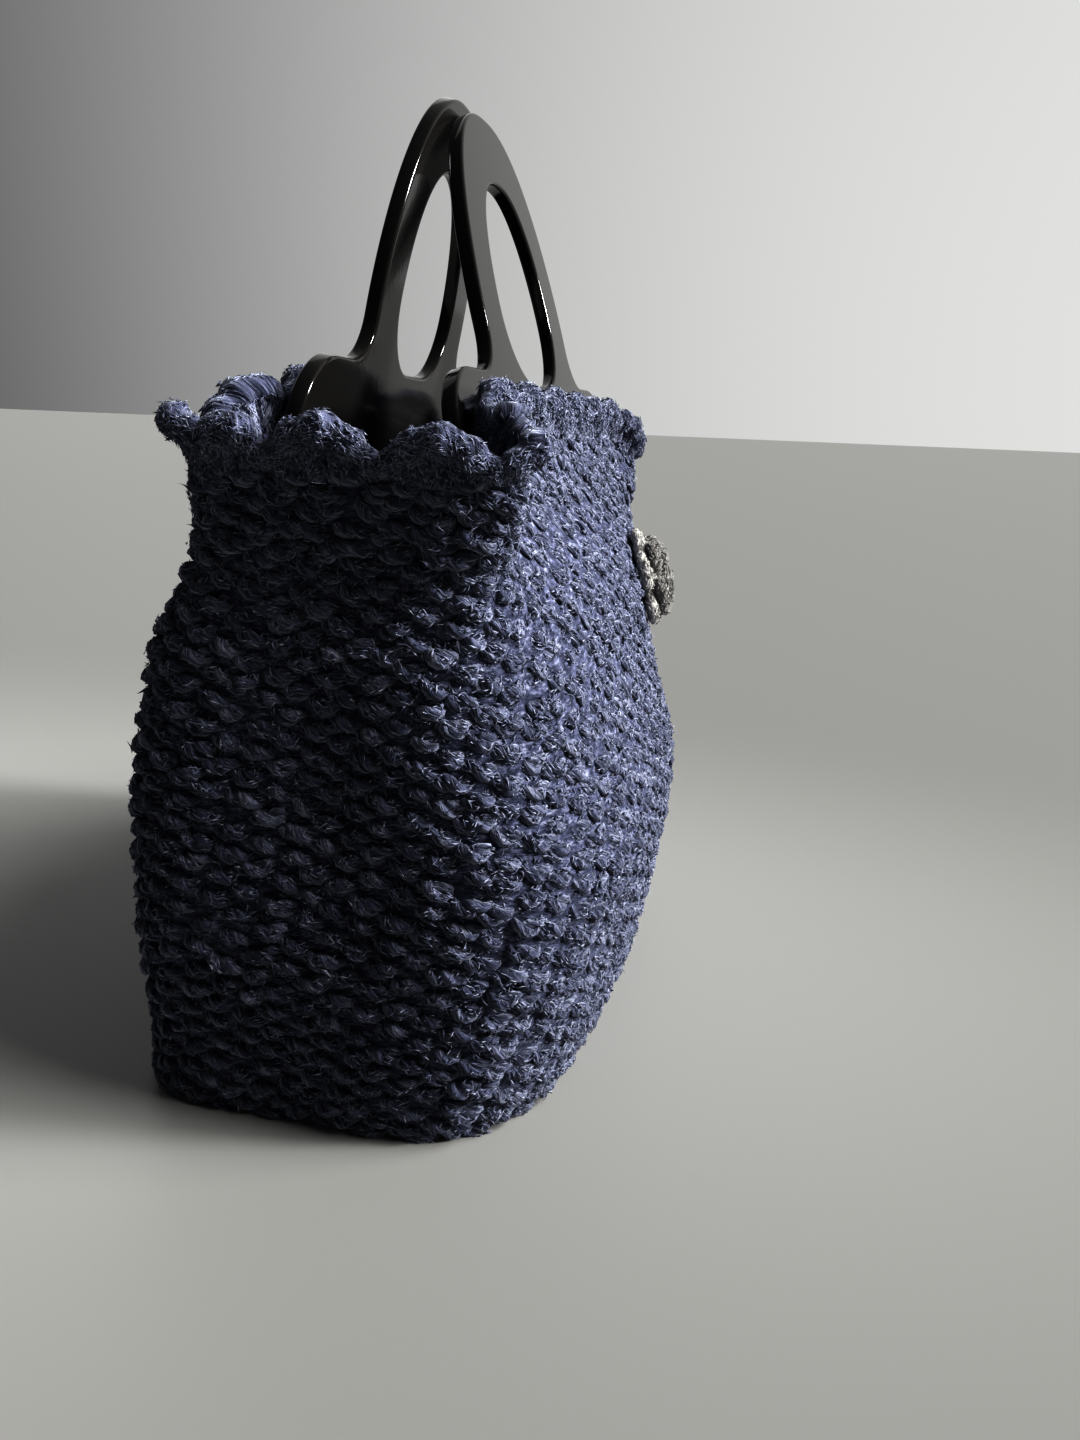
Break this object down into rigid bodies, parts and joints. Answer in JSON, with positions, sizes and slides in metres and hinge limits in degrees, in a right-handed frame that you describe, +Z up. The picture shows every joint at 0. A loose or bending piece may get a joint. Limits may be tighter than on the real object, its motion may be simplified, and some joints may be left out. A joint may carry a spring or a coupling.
{
  "type": "crochet tote bag",
  "caption": "Free-standing hollow crochet tote bag with a drawn-in collar, scalloped ruffle round the mouth, flat plate handles with grip openings and a layered flower on the front.",
  "frame": {"origin": "middle of the bag on its flat bottom, at floor level", "axes": "+Z up; X along the bag's length; the front with the flower faces -Y; the end nearest the picture's camera is at -X"},
  "size_m": [0.3226, 0.1963, 0.3739],
  "materials": {
    "yarn": "fuzzy heathered denim-blue wool-blend yarn, matt",
    "lacquer": "black lacquer, semi-gloss, softly rounded edges",
    "pale_yarn": "pale grey marled yarn, matt",
    "grey_yarn": "mid grey marled yarn, matt"
  },
  "bodies": {
    "root": {"base_panel": "yarn", "body_wall": "yarn", "collar_band": "yarn", "ruffle_edging": "yarn", "handle_front": "lacquer", "handle_back": "lacquer", "flower_lower_petals": "pale_yarn", "flower_upper_petals": "grey_yarn", "flower_centre": "grey_yarn"}
  },
  "joints": []
}
